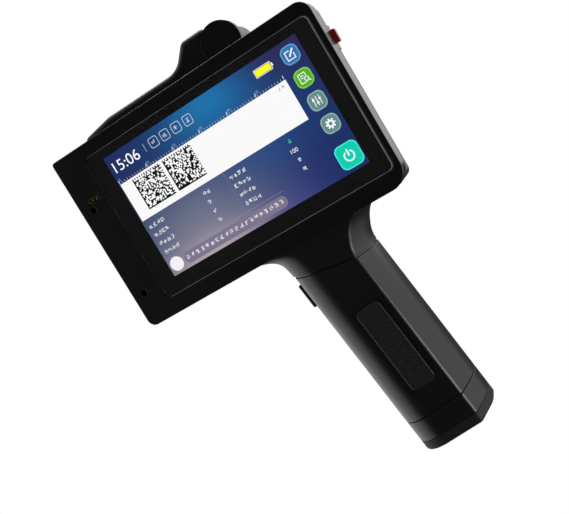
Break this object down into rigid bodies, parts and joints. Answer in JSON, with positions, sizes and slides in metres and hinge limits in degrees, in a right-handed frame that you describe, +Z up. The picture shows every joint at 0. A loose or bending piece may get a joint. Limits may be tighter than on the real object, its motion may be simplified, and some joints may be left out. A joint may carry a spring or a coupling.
{
  "type": "date code inkjet printer",
  "caption": "Handheld date code inkjet printer: flat touch-screen head on a raked grip, with a side print face, a hinged cartridge bay lid and a print trigger.",
  "frame": {"origin": "centre of the flat base of the handle", "axes": "+Z up along the head, -Y out of the screen, -X out of the print face"},
  "size_m": [0.147, 0.045, 0.2238],
  "materials": {
    "frame_plastic": "semi-gloss moulded black",
    "body_plastic": "fine textured black",
    "grip_plastic": "satin black",
    "label_plastic": "fine textured black with plain raised ribs",
    "screen_glass": "clear glass with a black printed border",
    "screen_panel": "lit display",
    "circuit": "green solder mask",
    "chip_case": "moulded component cases",
    "pressed_steel": "plain steel",
    "guard_steel": "brushed stainless steel",
    "screw_steel": "black zinc",
    "gilt": "gilt contacts",
    "red_plastic": "translucent red",
    "black_rubber": "black rubber",
    "wheel_plastic": "grey acetal",
    "tank_plastic": "moulded cartridge tank",
    "cell_foil": "pouch cell foil",
    "pack_plastic": "battery pack case"
  },
  "bodies": {
    "root": {"tablet_frame": "frame_plastic", "touch_glass": "screen_glass", "lcd_panel": "screen_panel", "display_carrier": "pressed_steel", "main_board": "circuit", "board_chips": "chip_case", "tablet_back": "body_plastic", "status_contacts": "gilt", "front_shell": "body_plastic", "back_shell": "body_plastic", "housing_screws": "screw_steel", "print_plate": "guard_steel", "wheel_axles": "pressed_steel", "wheel_brackets": "pressed_steel", "encoder_sensor": "circuit", "cartridge_bay": "body_plastic", "ink_cartridge": "tank_plastic", "nozzle_plate": "gilt", "cartridge_flex": "gilt", "contact_board": "circuit", "hinge_housing": "body_plastic", "hinge_pin": "pressed_steel", "button_surround": "frame_plastic", "power_switch": "chip_case", "power_board": "circuit", "usb_port": "pressed_steel", "dc_jack": "chip_case", "neck_housing": "body_plastic", "grip_sleeve": "grip_plastic", "seam_ring": "frame_plastic", "label_plate": "label_plastic", "battery_tube": "pack_plastic", "contact_block": "chip_case", "trigger_switch": "chip_case", "trigger_board": "circuit"},
    "lid": {"bay_lid": "body_plastic"},
    "trigger": {"print_trigger": "frame_plastic"},
    "power_key": {"power_button": "red_plastic"},
    "encoder_wheel": {"encoder_hub": "wheel_plastic", "encoder_tyre": "black_rubber"},
    "guide_roller": {"roller_hub": "wheel_plastic", "roller_tyre": "black_rubber"},
    "battery": {"battery_case": "pack_plastic", "battery_cells": "cell_foil", "battery_cap": "grip_plastic", "base_pad": "black_rubber"}
  },
  "joints": [
    {"name": "lid_hinge", "type": "hinge", "parent": "root", "child": "lid", "pos_m": [-0.00495, 0.0065, 0.21089], "axis": [0, 1, 0], "range_deg": [0, 85]},
    {"name": "trigger_press", "type": "slide", "parent": "root", "child": "trigger", "axis": [0.9921, 0, 0.1253], "range_m": [0, 0.0015], "stiffness_N_per_m": 800, "springref_m": -0.0005},
    {"name": "power_press", "type": "slide", "parent": "root", "child": "power_key", "axis": [-1, 0, 0], "range_m": [0, 0.0012], "stiffness_N_per_m": 800, "springref_m": -0.0005},
    {"name": "encoder_spin", "type": "hinge", "parent": "root", "child": "encoder_wheel", "pos_m": [-0.09575, 0.0065, 0.12569], "axis": [0, 0, 1], "continuous": true},
    {"name": "roller_spin", "type": "hinge", "parent": "root", "child": "guide_roller", "pos_m": [-0.09575, 0.0065, 0.18669], "axis": [0, 0, 1], "continuous": true},
    {"name": "battery_slide", "type": "slide", "parent": "root", "child": "battery", "axis": [0.1253, 0, -0.9921], "range_m": [0, 0.07]}
  ]
}
